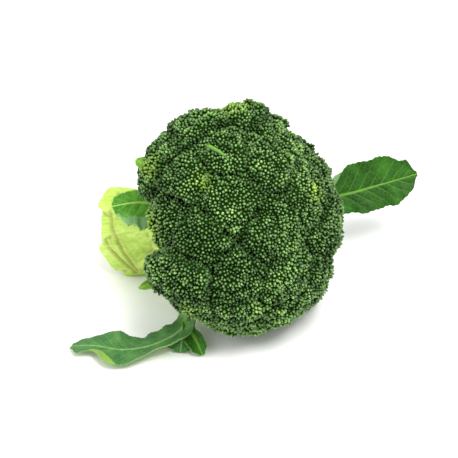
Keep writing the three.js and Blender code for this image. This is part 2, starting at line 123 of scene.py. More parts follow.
YOUNG_SLOPE = 1.6
SMOOTH_ROUNDS = 4

# Some florets stand out of the crown or lie deeper in it, are larger or smaller than the rest, or are
# pushed aside. Floret's number: (how far out, size, degrees further round the stalk).
ODD_FLORETS = {
    3: (1, 1.03, 7), 6: (-3, 1, 0), 8: (1, 1.03, -9), 9: (-5, 0.97, 0),
    11: (-2, 1, 0), 13: (0, 1, 0), 14: (-8, 0.98, 0), 16: (-6, 0.96, 0),
    17: (2, 0.92, -9), 19: (-3, 1, 0), 21: (-1, 1, 0), 22: (-4, 1, 0),
    23: (6, 1.12, -3), 25: (3, 1.04, 4), 26: (-1, 1, 0), 27: (-2, 1, 0),
    28: (-8, 0.96, 0), 29: (4, 1.04, 0), 30: (-5, 1.04, 0), 31: (-2, 1, 0),
    33: (3, 1.05, -1), 34: (-1, 1, 0),
}

# Where the buds are young and yellow-green: a place, from the table under the crown's centre, and how far
# the patch reaches from it.
YOUNG_PATCHES = [
    ([-27, -57, 81], 17),
    ([-36, -48, 118], 12),
    ([-20, 13, 137], 16),
    ([3, -44, 121], 8),
    ([45, 13, 102], 9),
    ([10, -70, 40], 10),
]


def unit(vector):
    """The same direction or rows of directions, with a length of 1."""
    return vector / np.linalg.norm(vector, axis=-1, keepdims=True)


def lerp(a, b, share):
    """From a at a share of 0 to b at 1."""
    return a + (b - a) * share


def smoothstep(x, low, high):
    """Rises smoothly from 0 at low to 1 at high."""
    share = np.clip((x - low) / (high - low), 0, 1)
    return share * share * (3 - 2 * share)


def hump(x, middle, width):
    """Rises to 1 at the middle and falls away on both sides of it."""
    return np.exp(-(((x - middle) / width) ** 2))


def seeded(seed):
    """A small random number generator, the same one as the solids use."""
    state = seed

    def draw():
        nonlocal state
        state = (state + 0x6D2B79F5) & 0xFFFFFFFF
        mixed = ((state ^ (state >> 15)) * (1 | state)) & 0xFFFFFFFF
        mixed = (mixed + (((mixed ^ (mixed >> 7)) * (61 | mixed)) & 0xFFFFFFFF) & 0xFFFFFFFF) ^ mixed
        return ((mixed ^ (mixed >> 14)) & 0xFFFFFFFF) / 4294967296

    return draw


def head_point(u, v, w):
    """A point in the head's own directions, from the crown's centre."""
    return CROWN_CENTRE + u * U + v * V + w * W


def round_stalk(out, turn, w):
    """A point this far out from the stalk's axis, at this turn round it."""
    return head_point(out * math.cos(turn), out * math.sin(turn), w)


def spiral(count, widest_polar, first_turn):
    """Directions spread evenly from straight up to a polar angle, as rows of polar angle and turn."""
    k = np.arange(count)
    polar = np.arccos(1 - (k + 0.5) / count * (1 - math.cos(widest_polar)))
    return np.stack([polar, first_turn + k * GOLDEN_TURN], axis=1)


def sphere_direction(polar, turn):
    """Directions from how far round from straight up they are, and their turn."""
    return np.stack([np.sin(polar) * np.sin(turn), np.cos(polar), np.sin(polar) * np.cos(turn)], axis=-1)


def across(direction):
    """Two directions that are square to a third and to each other."""
    helper = np.array([0, 0, 1]) if abs(direction[2]) < 0.9 else np.array([1, 0, 0])
    first = unit(np.cross(helper, direction))
    return first, np.cross(direction, first)


class Curve:
    """A centripetal Catmull-Rom curve through points, as the solids use."""

    def __init__(self, points):
        points = np.array(points, float)
        first, last = 2 * points[0] - points[1], 2 * points[-1] - points[-2]
        self.points = np.vstack([first, points, last])
        self.spans = len(points) - 1

    def at(self, share):
        """The point at a share of the spans between the points that it was made from."""
        place = min(max(share, 0), 1) * self.spans
        span = min(int(place), self.spans - 1)
        t = place - span
        p0, p1, p2, p3 = self.points[span : span + 4]
        d0, d1, d2 = (np.linalg.norm(b - a) ** 0.5 for a, b in ((p0, p1), (p1, p2), (p2, p3)))
        t1 = ((p1 - p0) / d0 - (p2 - p0) / (d0 + d1) + (p2 - p1) / d1) * d1
        t2 = ((p2 - p1) / d1 - (p3 - p1) / (d1 + d2) + (p3 - p2) / d2) * d1
        return p1 + t1 * t + (3 * (p2 - p1) - 2 * t1 - t2) * t**2 + (2 * (p1 - p2) + t1 + t2) * t**3

    def ahead(self, share):
        step = 1e-4
        return unit(self.at(min(share + step, 1)) - self.at(max(share - step, 0)))


# Florets


class Floret:
    """Where a floret sits, and its surface: a lobed dome whose underside narrows to its branch."""

    def __init__(self, place, polar, turn, random):
        self.number = place + 1
        usual = (lerp(-USUAL_OUT, USUAL_OUT, random()), lerp(*USUAL_SIZE, random()), 0)
        out, size, further = ODD_FLORETS.get(self.number, usual)
        turn += math.radians(further)
        lateral, along = CROWN_RADIUS * math.sin(polar), CROWN_DEPTH * math.cos(polar)
        facing_polar = math.atan2(lateral / CROWN_RADIUS**2, along / CROWN_DEPTH**2)
        self.facing = round_stalk(math.sin(facing_polar), turn, math.cos(facing_polar)) - CROWN_CENTRE
        self.radius = FLORET_RADIUS * size
        self.rise = FLORET_RISE * size
        self.middle = round_stalk(lateral, turn, along) + self.facing * (out - self.rise)
        rim_share = smoothstep(polar, *RIM_RANGE)
        aim = head_point(0, 0, lerp(WALL_CENTRE, FORK, rim_share))
        self.inward = unit(aim - self.middle)
        self.length = np.linalg.norm(aim - self.middle) - HEART_RADIUS - RIM_HEART_EXTRA * rim_share
        self.right, self.ahead = across(self.facing)
        draw = seeded(LOBE_SEED + self.number)
        lobe_count = math.floor(LOBE_COVER * self.radius**2 / LOBE_WIDTH**2 + 0.5) + FEWEST_LOBES
        self.lobes = sphere_direction(*spiral(lobe_count, LOBE_POLAR, 6 * draw()).T)

    def outline(self, polar):
        """The outline from its top, polar angle 0, to its branch, 180: out from the axis, and up along it."""
        tuck_end, trumpet_end = 116, 172
        collar = BRANCH_TIP + COLLAR
        shoulder = 0.8 * self.radius
        degrees = np.degrees(polar)
        sine, cosine = np.sin(polar), np.maximum(np.cos(polar), 0)
        reach = ((sine / self.radius) ** SQUARENESS + (cosine / self.rise) ** SQUARENESS) ** (-1 / SQUARENESS)
        curl = np.clip((degrees - 90) / (tuck_end - 90), 0, 1) * math.pi / 2
        share = np.clip((degrees - tuck_end) / (trumpet_end - tuck_end), 0, 1)
        tuck = lerp(shoulder, self.radius, np.cos(curl)), -FLORET_TUCK * np.sin(curl)
        trumpet = lerp(shoulder, collar, 1 - (1 - share) ** 2), lerp(-FLORET_TUCK, -self.length, share)
        mouth = collar * (180 - degrees) / (180 - trumpet_end), np.full_like(degrees, -self.length)
        parts = [degrees <= 90, degrees <= tuck_end, share < 1]
        out = np.select(parts, [reach * sine, tuck[0], trumpet[0]], mouth[0])
        up = np.select(parts, [reach * cosine, tuck[1], trumpet[1]], mouth[1])
        return out, up

    def surface(self, direction):
        """Points of the surface in these directions."""
        polar = np.arccos(np.clip(direction[:, 1], -1, 1))
        turn = np.arctan2(direction[:, 0], direction[:, 2])
        out, up = self.outline(polar)
        fade = 1 - smoothstep(polar, LOBE_END - LOBE_FADE, LOBE_END + LOBE_FADE)
        lobe_gap = np.arccos(np.clip(direction @ self.lobes.T, -1, 1).max(axis=1))
        lift = LOBE_RISE * np.maximum(0, 1 - (lobe_gap * self.radius / LOBE_WIDTH) ** 2)
        stems = smoothstep(polar, *STEM_RANGE) * np.minimum(out / STEM_REACH, 1)
        ribs = np.abs(np.sin(STEM_COUNT / 2 * turn + self.number)) - 0.5
        lift = lift * fade + STEM_RELIEF * stems * ribs
        tilt = np.minimum(polar, math.pi / 2)
        facing_out, facing_up = np.sin(tilt), np.cos(tilt)
        side = np.cos(turn)[:, None] * self.right + np.sin(turn)[:, None] * self.ahead
        points = self.middle + side * (out + lift * facing_out)[:, None]
        rising = self.facing * (up + lift * facing_up)[:, None]
        sinking = self.inward * -up[:, None]
        return points + np.where((up >= 0)[:, None], rising, sinking)


def floret_sites():
    """All the florets, on a spiral round the crown from its top to its rim."""
    draw = seeded(FLORET_SEED)
    rows = spiral(FLORET_COUNT, RIM_POLAR, FIRST_TURN)
    return [Floret(place, polar, turn, draw) for place, (polar, turn) in enumerate(rows)]


def walls_of(site, sites):
    """The planes that part a floret from its neighbours: a point on each, and its direction inwards."""
    wall_centre = head_point(0, 0, WALL_CENTRE)
    walls = []
    for other in sites:
        apart = np.linalg.norm(site.middle - other.middle)
        if other is site or apart > site.radius + other.radius + NEIGHBOUR_REACH:
            continue
        between = lerp(site.middle, other.middle, site.radius / (site.radius + other.radius))
        radial = unit(between - wall_centre)
        normal = site.middle - other.middle
        normal = unit(normal - (normal @ radial) * radial)
        walls.append((between + normal * GAP / 2, normal))
    return walls


def inside_share(points, site):
    """How far out these points are in a floret's dome: 0 at its axis, 1 at its surface."""
    apart = points - site.middle
    up = apart @ site.facing
    out = np.linalg.norm(apart - up[:, None] * site.facing, axis=1)
    share = (out / site.radius) ** SQUARENESS + (np.maximum(up, 0) / site.rise) ** SQUARENESS
    return share ** (1 / SQUARENESS)


def covered(points, normals, site, sites, walls):
    """Which points of a floret are well under the surface of a neighbour that stands against them."""
    hidden = np.zeros(len(points), bool)
    beyond = points + FREE_AIR * normals
    for other in sites:
        if other is site or np.linalg.norm(other.middle - site.middle) > FAR_APART:
            continue
        deep = inside_share(points, other) < 1 - HIDDEN_DEPTH / other.radius
        for wall, inwards in walls[other.number]:
            deep &= (beyond - wall) @ inwards > 0
        hidden |= deep
    return hidden


def soften(shape, voxel):
    """The same shape as an even net of small faces, with its edges rounded."""
    rough = bpy.data.meshes.new("rough")
    shape.to_mesh(rough)
    shape.free()
    carrier = bpy.data.objects.new("rough", rough)
    bpy.context.scene.collection.objects.link(carrier)
    remesh = carrier.modifiers.new("remesh", "REMESH")
    remesh.mode = "VOXEL"
    remesh.voxel_size = voxel * MM
    smooth = carrier.modifiers.new("smooth", "SMOOTH")
    smooth.iterations = SMOOTH_ROUNDS
    evaluated = carrier.evaluated_get(bpy.context.evaluated_depsgraph_get())
    soft = bmesh.new()
    soft.from_mesh(evaluated.to_mesh())
    evaluated.to_mesh_clear()
    bpy.data.objects.remove(carrier)
    bpy.data.meshes.remove(rough)
    soft.normal_update()
    return soft


def scatter(shape, random):
    """Random points all over a shape, in millimetres, with the way the surface faces at each."""
    areas = np.array([face.calc_area() for face in shape.faces])
    chosen = random.choice(len(areas), BUD_CHOICES, p=areas / areas.sum())
    corners = np.array([[vert.co for vert in face.verts[:3]] for face in shape.faces])[chosen] / MM
    normals = np.array([[vert.normal for vert in face.verts[:3]] for face in shape.faces])[chosen]
    shares = random.uniform(0, 1, (BUD_CHOICES, 2))
    a, b = shares[:, :1], shares[:, 1:]
    points = corners[:, 1] + a * (corners[:, 0] - corners[:, 1]) + b * (corners[:, 2] - corners[:, 1])
    facing = lerp(normals[:, 1], lerp(normals[:, 0], normals[:, 2], 0.5), (a + b) / 2)
    return points, unit(facing)


def spread(points, pitch):
    """Numbers of the points that lie evenly over the rest, each as far as it can be from those before it."""
    gaps = np.full(len(points), np.inf)
    chosen = [0]
    while True:
        gaps = np.minimum(gaps, ((points - points[chosen[-1]]) ** 2).sum(axis=1))
        furthest = int(gaps.argmax())
        if gaps[furthest] < pitch**2:
            return np.array(chosen)
        chosen.append(furthest)


def make_bed(site, walls):
    """The floret without its buds: its dome, cut off by its neighbours and the table, and its stems."""
    shape = bmesh.new()
    bmesh.ops.create_icosphere(shape, subdivisions=5, radius=1)
    directions = np.array([vert.co for vert in shape.verts])[:, [1, 2, 0]]
    for vert, point in zip(shape.verts, site.surface(directions)):
        vert.co = point * MM
    table = np.zeros(3), np.array([0, 0, 1])
    for point, normal in [*walls, table]:
        everything = [*shape.verts, *shape.edges, *shape.faces]
        bmesh.ops.bisect_plane(
            shape, geom=everything, dist=1e-6, plane_co=point * MM, plane_no=normal, clear_inner=True
        )
        bmesh.ops.holes_fill(shape, edges=[edge for edge in shape.edges if edge.is_boundary], sides=0)
    return soften(shape, BED_NET)


def from_walls(points, walls):
    """How far points of a floret are from the nearest of its walls."""
    return np.min([(points - wall) @ inwards for wall, inwards in walls], axis=0)


def relief(points, tufts, walls):
    """How high a floret's surface stands for its tufts, how shut in it is there, which sets the painted shade
    on its buds, and each point's tuft.
    """
    apart = np.linalg.norm(points[:, None] - tufts[None], axis=2)
    across_tuft = apart.min(axis=1) / (0.5 * TUFT_WIDTH)
    crevice = 1 - smoothstep(from_walls(points, walls), *CREVICE_RANGE)
    lift = TUFT_RISE * np.maximum(0.5 - across_tuft**2, -1) - CREVICE_SINK * crevice
    shut_in_shade = crevice + TUFT_SHADE * smoothstep(across_tuft, *TUFT_EDGE)
    return lift, shut_in_shade, apart.argmin(axis=1)


def youth(points):
    """How young the buds are at these points: 1 in the middle of a young patch, 0 outside them all."""
    apart = [np.linalg.norm(points - UNDER_CROWN - middle, axis=1) / reach for middle, reach in YOUNG_PATCHES]
    return np.clip(YOUNG_SLOPE * (1 - np.min(apart, axis=0)), 0, 1)


def add_bunch(shape, places, tints_and_shade, youths):
    """Sets a bunch of buds into a floret, made apart because a small shape is quick to add to."""
    bunch = bmesh.new()
    traits = ("tint_and_shade", "young", "tip")
    tint_and_shade_layer, young_layer, tip_layer = (bunch.verts.layers.float.new(trait) for trait in traits)
    for place, tint_and_shade, young in zip(places, tints_and_shade, youths):
        made = bmesh.ops.create_uvsphere(
            bunch, u_segments=BUD_SIDES, v_segments=BUD_RINGS, radius=1, matrix=place
        )
        top = place.to_3x3() @ Vector((0, 0, 1))
        middle, height = place.translation, top.length_squared
        for vert in made["verts"]:
            vert[tint_and_shade_layer] = tint_and_shade
            vert[young_layer] = young
            vert[tip_layer] = 0.5 + 0.5 * (vert.co - middle).dot(top) / height
    mesh = bpy.data.meshes.new("bunch")
    bunch.to_mesh(mesh)
    bunch.free()
    shape.from_mesh(mesh)
    bpy.data.meshes.remove(mesh)


def sink_bed(shape, site, tufts, walls):
    """Lowers a floret's bed under its buds, follows its tufts with it, and marks where its stems are bare."""
    stem_layer, tint_and_shade_layer = (shape.verts.layers.float.new(name) for name in ("stem", "tint_and_shade"))
    points = np.array([vert.co for vert in shape.verts]) / MM
    lift, _, _ = relief(points, tufts, walls)
    share = lerp(BED_KEEP, 1, smoothstep(from_walls(points, walls), *BED_KEEP_RANGE))
    for vert, up, rise in zip(shape.verts, (points - site.middle) @ site.facing, (lift - BED_SINK) * share):
        vert[stem_layer] = smoothstep(-up, -BUD_EDGE, -BUD_EDGE + STEM_FADE)
        vert[tint_and_shade_layer] = 0.5
        vert.co += vert.normal * rise * MM * (1 - vert[stem_layer])
        vert.co.z = max(vert.co.z, 0)


def make_floret(site, sites, walls, skin):
    """A floret: its bed, set with buds of uneven size, height, lean and tone that stand in small tufts, with
    painted shade on the buds in its crevices and between its tufts.
    """
    random = np.random.default_rng(BUD_SEED + site.number)
    shape = make_bed(site, walls[site.number])
    points, normals = scatter(shape, random)
    up = (points - site.middle) @ site.facing
    free = (up > BUD_EDGE) & (points[:, 2] > LOWEST_BUD) & ~covered(points, normals, site, sites, walls)
    points, normals = points[free], normals[free]
    tufts = points[spread(points, TUFT_PITCH)]
    buds = spread(points, BUD_GAP)
    points, normals = points[buds], normals[buds]
    count = len(points)
    lift, shut_in_shade, tuft = relief(points, tufts, walls[site.number])
    tuft_tint = random.uniform(0, 1, len(tufts))
    tuft_size = random.uniform(*TUFT_SIZES, len(tufts))
    splay = TUFT_SPLAY * (points - tufts[tuft]) / TUFT_WIDTH
    lean = normals + splay + random.normal(0, BUD_UNEVEN, points.shape)
    stand = BUD_STAND - BED_SINK + lift + random.normal(0, BUD_UNEVEN, count)
    at = points + normals * stand[:, None]
    sizes = tuft_size[tuft] * random.uniform(*BUD_SIZES, count)
    turns = random.uniform(0, 2 * math.pi, count)
    places = [
        Matrix.LocRotScale(
            Vector(at[k]) * MM,
            Vector(lean[k]).to_track_quat("Z", "Y") @ Quaternion((0, 0, 1), turns[k]),
            Vector((BUD_RADIUS, BUD_RADIUS, BUD_LENGTH)) * sizes[k] * MM,
        )
        for k in range(count)
    ]
    # Painted shade: the buds beside a neighbour and between two tufts are darkened.
    tints_and_shade = TUFT_TINT * tuft_tint[tuft] + BUD_TINT * random.uniform(0, 1, count) + SHUT_IN_SHADE * shut_in_shade
    youths = youth(points) * random.uniform(*YOUNG_SHARES, count)
    sink_bed(shape, site, tufts, walls[site.number])
    for first in range(0, count, BUNCH):
        bunch = slice(first, first + BUNCH)
        add_bunch(shape, places[bunch], tints_and_shade[bunch], youths[bunch])
    name = f"floret_{site.number:02d}"
    finished(shape, f"{name}_buds", skin, name)


def finished(shape, name, material, node=None):
    """Turns a shape into a smooth-shaded piece that takes the place of a node, if it is given one."""
    mesh = bpy.data.meshes.new(name)
    shape.to_mesh(mesh)
    shape.free()
    mesh.shade_smooth()
    mesh.materials.append(material)
    piece = bpy.data.objects.new(name, mesh)
    bpy.context.scene.collection.objects.link(piece)
    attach(piece, "root")
    if node:
        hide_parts(node)


# Stalk


# Where the skin of the stalk is folded and browned, where old leaves came away: each fold follows points
# that are laid out from the table under the crown's centre.
STALK_FOLDS = [
    [[-98, -9, 53], [-94, -21, 45], [-89, -26, 37], [-82, -29, 33], [-75, -28, 22], [-71, -23, 8]],
    [[-91, -30, 28], [-85, -31, 24], [-80, -30, 19], [-76, -26, 12], [-73, -22, 5]],
]
FOLD_STEPS = 60
FOLD_DEPTH = 0.9
FOLD_WIDTH = 1.1
LIP_PLACE, LIP_WIDTH, LIP_SHARE = 2.4, 1.2, 0.6  # the raised lips beside a fold
LINE_STAIN, LINE_WIDTH = 0.9, 1.2  # the brown line in a fold
HALO_STAIN, HALO_WIDTH = 0.25, 4  # and the fainter stain around it
SKIN_NET = 1.1  # the size of the stalk's faces
SKIN_SINK = 0.1  # the skin below the solid, so that its ridges stay inside
RIDGE_COUNT = 34
RIDGE_RISE = 0.28
RIDGE_SHARE, RIPPLE_SHARE = 0.45, 1.4  # what the ridges are made up of
RIPPLE_AROUND, RIPPLE_ALONG = 7.04, 0.044  # how fast the stalk's unevenness changes
RIPPLE_BEND = 5  # how far it bends the ridges
WELD = 0.005  # corners of the solid that are this near each other are one
CREASE_RANGE = 0.01, 0.06  # how hollow a crease is where it begins to darken to olive-brown, and is so in full
CUT_FACING = 0.75, 0.92  # how squarely the cut end faces along the stalk
CUT_RANGE = STALK_LENGTH - 16, STALK_LENGTH - 6
FLAT_HEIGHT = 0.8  # below this the skin is left as it is, so that it rests flat


def fold_marks(places):
    """How deep the skin is folded in at these places, with raised lips beside a fold, and how browned."""
    shares = [k / FOLD_STEPS for k in range(FOLD_STEPS + 1)]
    folds = [Curve(fold).at(share) + UNDER_CROWN for fold in STALK_FOLDS for share in shares]
    apart = np.min([np.linalg.norm(places - point, axis=1) for point in folds], axis=0)
    depth = hump(apart, 0, FOLD_WIDTH) - LIP_SHARE * hump(apart, LIP_PLACE, LIP_WIDTH)
    stain = LINE_STAIN * hump(apart, 0, LINE_WIDTH) + HALO_STAIN * hump(apart, 0, HALO_WIDTH)
    return depth, stain


def make_stalk(skin):
    """The stalk's solid, with its edges softened, and raised into fibres along its length."""
    shape = bmesh.new()
    shape.from_mesh(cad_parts["stalk"].data)
    bmesh.ops.remove_doubles(shape, verts=shape.verts, dist=WELD * MM)
    shape = soften(shape, SKIN_NET)

    cut, crease = (shape.verts.layers.float.new(name) for name in ("cut", "crease"))
    places = np.array([vert.co for vert in shape.verts]) / MM
    moves = []
    for vert, place, depth, stain in zip(shape.verts, places - CROWN_CENTRE, *fold_marks(places)):
        turn, w = math.atan2(place @ V, place @ U), place @ W
        around = RIPPLE_AROUND * Vector((math.cos(turn), math.sin(turn), 0))
        ripple = noise.noise(around + Vector((0, 0, RIPPLE_ALONG * w)))
        ridges = RIDGE_SHARE * math.sin(RIDGE_COUNT * turn + RIPPLE_BEND * ripple) + RIPPLE_SHARE * ripple
        hollow = sum(((edge.other_vert(vert).co - vert.co).dot(vert.normal) for edge in vert.link_edges), 0)
        vert[crease] = max(smoothstep(hollow / len(vert.link_edges) / MM, *CREASE_RANGE), stain)
        facing_cut = -np.array(vert.normal) @ W
        vert[cut] = smoothstep(facing_cut, *CUT_FACING) * smoothstep(-w, *CUT_RANGE)
        free = (1 - vert[cut]) * (vert.co.z > FLAT_HEIGHT * MM)
        moves.append(vert.normal * (RIDGE_RISE * ridges - SKIN_SINK - FOLD_DEPTH * depth) * MM * free)
    for vert, move in zip(shape.verts, moves):
        vert.co += move
        vert.co.z = max(vert.co.z, 0)
    finished(shape, "stalk_skin", skin, "stalk")


# Leaves


# Leaves are laid out from the table under the crown's centre, as their solids are: a rib of points from the
# root to the tip, the way the upper face looks at both ends, the half widths and the curls as rows of
# [share of the length, left, right], and the wave along the edges. Then come where the blade begins, how
# many side veins it has, and the middle and the reach of the part whose left edge is turned over, if any.
LEAF_RIGHT = {
    "rib": [[-55, 15, 42], [-40, 42, 38], [-18, 74, 40], [14, 89, 46], [33, 111, 51], [49, 133, 55]],
    "faces": [[0.3, -0.3, 0.9], [0.56, -0.65, 0.51]],
    "widths": [
        [0, 2.6, 2.6], [0.4, 2.6, 2.6], [0.52, 4, 6], [0.62, 15, 13], [0.7, 19, 15], [0.85, 18, 16],
        [0.95, 12, 10], [1, 2, 1.5],
    ],
    "curls": [[0, 0, 0], [0.5, 40, 30], [0.7, 12, 8], [1, 14, 14]],
    "wave": 1.1, "waves": 5, "blade": 0.5, "veins": 9,
    "fold": [0.57, 0.06],
}
LEAF_LEFT = {
    "rib": [[-51.5, -8, 56.6], [-53, -18, 67], [-62, -29, 71], [-74, -40, 69]],
    "faces": [[-0.2, -0.2, 1], [0.35, -0.5, 0.8]],
    "widths": [
        [0, 2.2, 2.2], [0.25, 4, 3], [0.4, 14, 6], [0.6, 21, 8], [0.8, 17, 8], [0.95, 8, 6], [1, 2, 2],
    ],
    "curls": [[0, 0, 0], [0.4, 50, 50], [0.7, 32, 60], [1, 25, 30]],
    "wave": 1.5, "waves": 2.5, "blade": 0.3, "veins": 6,
    "fold": [0.64, 0.42],
}
LEAF_LOWER = {
    "rib": [
        [-50, -8, 30], [-38, -20, 21], [-20, -35, 13], [-8, -51, 9.5], [-14, -72, 6], [-28, -87, 4.5],
        [-43, -96, 6], [-57, -102, 2.5],
    ],
    "faces": [[-0.4, -0.3, 0.8], [-0.1, 0.1, 1]],
    "widths": [
        [0, 2.6, 2.6], [0.3, 3, 3], [0.42, 9, 7], [0.5, 12, 9], [0.6, 11, 12], [0.76, 15, 14],
        [0.86, 5, 12], [0.93, 8, 9.5], [1, 3, 3],
    ],
    "curls": [[0, 0, 0], [0.4, 40, 40], [0.6, 20, 20], [0.8, -10, 25], [1, 10, 10]],
    "wave": 2.2, "waves": 3.5, "blade": 0.35, "veins": 12,
    "fold": [0.8, 0.07],
}
LOBE_FRONT = {
    "rib": [[-12, -45, 10.5], [-8, -51, 8.5], [-3, -58, 5], [0, -63, 1.4]],
    "faces": [[-0.4, -0.3, 0.8], [0.1, -0.2, 1]],
    "widths": [[0, 3, 3], [0.3, 8, 8], [0.6, 11, 11], [0.85, 9, 9], [1, 4, 4]],
    "curls": [[0, 0, 0], [1, 20, 20]],
    "wave": 1, "waves": 1.5, "blade": 0, "veins": 4,
}
LOBE_SIDE = {
    "rib": [[-10, -46, 11], [-2, -51, 10.5], [6, -54, 7], [13, -57, 2.2]],
    "faces": [[-0.2, -0.3, 0.9], [0.5, -0.5, 0.7]],
    "widths": [[0, 2, 2], [0.3, 3, 4], [0.6, 5, 7], [0.85, 5, 6], [1, 2, 2]],
    "curls": [[0, 25, 25], [1, 45, 45]],
    "wave": 0.6, "waves": 1.5, "blade": 0, "veins": 4,
}

# Leaflets that push out between the florets.
LEAFLET = {"curls": [[0, 30, 30], [1, 10, 10]], "wave": 0, "waves": 1, "blade": 0, "veins": 3}
LEAFLET_TOP = {
    **LEAFLET,
    "rib": [[-12, -26, 129], [-7, -27, 133.8], [0, -27.5, 134.2], [6, -26.5, 131.8], [10, -26, 128]],
    "faces": [[0, -0.4, 0.9], [0, -0.4, 0.9]],
    "widths": [[0, 0.6, 0.6], [0.4, 0.9, 0.9], [0.8, 0.7, 0.7], [1, 0.3, 0.3]],
}
LEAFLET_BACK = {
    **LEAFLET,
    "rib": [[-34, -38, 108], [-41, -40.5, 111.5], [-48.5, -43, 115.5]],
    "faces": [[0.5, -0.6, 0.6], [0.5, -0.6, 0.6]],
    "widths": [[0, 2, 2], [0.5, 4, 4], [0.9, 3, 3], [1, 1, 1]],
}
LEAFLET_FRONT = {
    **LEAFLET,
    "rib": [[-8, -64, 58], [-14, -70.5, 54.4], [-19.5, -77.4, 51.5]],
    "faces": [[0.5, -0.6, 0.6], [0.5, -0.6, 0.6]],
    "widths": [[0, 2, 2], [0.5, 3.4, 3.4], [0.8, 2.4, 2.4], [1, 0.6, 0.6]],
}
LEAF_TRAITS = ("rib", "stride", "leafy", "rim", "under")
BLADE_RANGE = 4, 12  # the half width at which a leaf begins to be thin like a blade, and is
FACE_RANGE = 0.2, 0.6  # the part of a leaf's length that turns from its first facing to its last
RIB_HALF = 1.5, 0.45  # a midrib's half width, at the root and at the tip
TOOTH_START = 0.12  # how far along the blade its teeth reach their full size
LEAST_CURL = 1e-4  # so that a flat section is an arc too
SEAM = 0.004  # corners of a blade that are this near each other are one
VEIN_SWEEP, VEIN_BEND = 2.4, 0.5  # how far side veins run to the tip, and bend back
VEIN_OFFSET = 0.5  # of the left ones from the right ones
VEIN_WIDTH = 0.35
PUFF = 0.55  # how far the blade rises between its veins
UNFOLDED = 2, 0.1  # for a leaf without a fold: one that is past its tip
FLAP_SLOPE = 0.05
LEAF_STALK_DEPTH = 0.5, 2.4  # a leaf's stalk, at the tip and at the root
LEAST_DEPTH = 0.35
BLADE_DEPTH = 0.3
FACE_HEIGHT = 0.3  # a leaf's upper face above its own middle
FOLD_HEIGHT = 0.9  # a turned-over edge above the upper face
LEAF_REST = 0.1  # the lowest that a leaf comes, above the table


def along(rows, share, column):
    """A value from a column of rows of [share of the length, left, right], eased from row to row."""
    later = next((k for k, row in enumerate(rows) if row[0] >= share), len(rows) - 1)
    if later == 0:
        return rows[0][column]
    before, after = rows[later - 1], rows[later]
    return lerp(before[column], after[column], smoothstep(share, before[0], after[0]))


def teeth(leaf, share, left):
    """How far a blade's edges stand out for their scallops and small teeth."""
    scallops = np.abs(np.sin(share * 4.3 * leaf["veins"] * math.pi + left))
    return 0.6 * scallops + 0.35 * np.sin(share * 83 + 3 * left) + 0.5 * np.sin(share * 37 + 2 * left)


def waves(leaf, share, left):
    """How far a blade's edges rise and fall, in long waves and short ones."""
    side = np.where(left, 1, 2)
    turns = leaf["waves"] * math.pi * share
    return leaf["wave"] * np.sin(2 * turns + 2 * side) + 0.5 * np.sin(7 * turns + side)


def leaf_section(leaf, path, share, t, upper):
    """Points across a leaf at a share of its length, t from -1 at the left edge to 1, and what its skin
    needs: how far each is from the midrib in rib widths, its place in the row of side veins, how leafy it
    is, how near the edge, and whether the paler lower face shows."""
    point, forward = path.at(share) + UNDER_CROWN, path.ahead(share)
    first, last = unit(np.array(leaf["faces"], float))
    right = unit(np.cross(forward, lerp(first, last, smoothstep(share, *FACE_RANGE))))
    up = unit(np.cross(right, forward))
    left = t < 0
    from_rib = np.abs(t)
    half = np.where(left, along(leaf["widths"], share, 1), along(leaf["widths"], share, 2))
    blade = smoothstep(half, *BLADE_RANGE)
    toothed = smoothstep(share, leaf["blade"], leaf["blade"] + TOOTH_START)
    half = half + teeth(leaf, share, left) * blade * toothed
    curl = np.radians(np.where(left, along(leaf["curls"], share, 1), along(leaf["curls"], share, 2)))
    turn = curl * from_rib + LEAST_CURL
    reach = half * from_rib / turn

    blade_share = (share - leaf["blade"]) / (1 - leaf["blade"])
    stride = blade_share * leaf["veins"] - VEIN_SWEEP * from_rib + VEIN_BEND * t**2 - VEIN_OFFSET * left
    beside_vein = np.abs(stride - np.round(stride)) * 2
    rib = from_rib * half / lerp(*RIB_HALF, smoothstep(share, 0.4, 1))
    midrib = hump(rib, 0, 1)
    hollow = hump(beside_vein, 0, VEIN_WIDTH) * (1 - 0.6 * from_rib)
    puff = PUFF * blade * (1 - hollow) * (1 - midrib) * (1 - t**4)
    fold_middle, fold_reach = leaf.get("fold", UNFOLDED)
    flap_edge = 0.5 + 0.5 * ((share - fold_middle) / fold_reach) ** 2
    flap = smoothstep(-t, flap_edge, flap_edge + FLAP_SLOPE)

    stalk_share = 1 - smoothstep(share, 0.3, 1)
    roundness = np.sqrt(np.maximum(0, 1 - t * t))
    stalk_depth = lerp(*LEAF_STALK_DEPTH, stalk_share) * roundness + LEAST_DEPTH
    blade_depth = BLADE_DEPTH + 0.5 * midrib + 0.15 * hollow
    thick = lerp(stalk_depth, blade_depth, blade * np.minimum(1, from_rib * 2))
    height = np.where(upper, FACE_HEIGHT + FOLD_HEIGHT * flap, -thick - 0.4 * stalk_share) + puff
    outwards = np.sign(t) * (reach - height) * np.sin(turn)
    upwards = reach * (1 - np.cos(turn)) + blade * t**2 * waves(leaf, share, left) + np.cos(turn) * height
    points = point + outwards[:, None] * right + upwards[:, None] * up
    leafy = np.full(len(t), smoothstep(blade_share, -0.01, 0.05))
    under = np.where(upper, flap, 1)
    return points, {"rib": rib, "stride": stride, "leafy": leafy, "rim": from_rib, "under": under}


